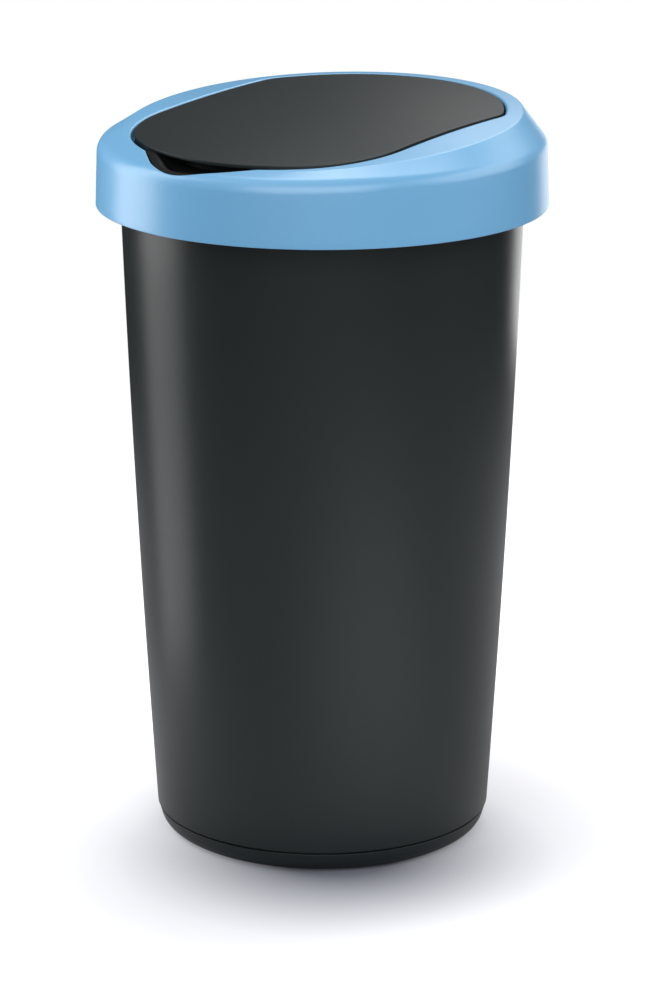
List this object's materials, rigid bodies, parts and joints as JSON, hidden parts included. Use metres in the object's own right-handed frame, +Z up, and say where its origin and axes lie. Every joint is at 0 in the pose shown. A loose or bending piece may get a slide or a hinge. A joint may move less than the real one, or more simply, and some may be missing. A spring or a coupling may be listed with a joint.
{
  "type": "swing-top waste bin",
  "caption": "Round tapered waste bin with a lift-off domed lid ring, a swing flap that opens at the front and a finger recess.",
  "frame": {"origin": "centre of the base, on the surface that the bin stands on", "axes": "+Z up, -Y towards the front where the finger recess is, the flap's hinge along X"},
  "size_m": [0.4, 0.4, 0.6648],
  "materials": {
    "bin_plastic": "satin",
    "lid_plastic": "satin",
    "flap_plastic": "satin",
    "tray_plastic": "satin"
  },
  "bodies": {
    "bin": {"bin_body": "bin_plastic"},
    "lid": {"lid_ring": "lid_plastic"},
    "flap": {"flap_panel": "flap_plastic", "finger_tray": "tray_plastic"}
  },
  "joints": [
    {"name": "lid_lift", "type": "slide", "parent": "bin", "child": "lid", "axis": [0, 0, 1], "range_m": [0, 0.12]},
    {"name": "flap_swing", "type": "hinge", "parent": "lid", "child": "flap", "pos_m": [0, 0.007, 0.64989], "axis": [-1, 0, 0], "range_deg": [0, 80]}
  ]
}
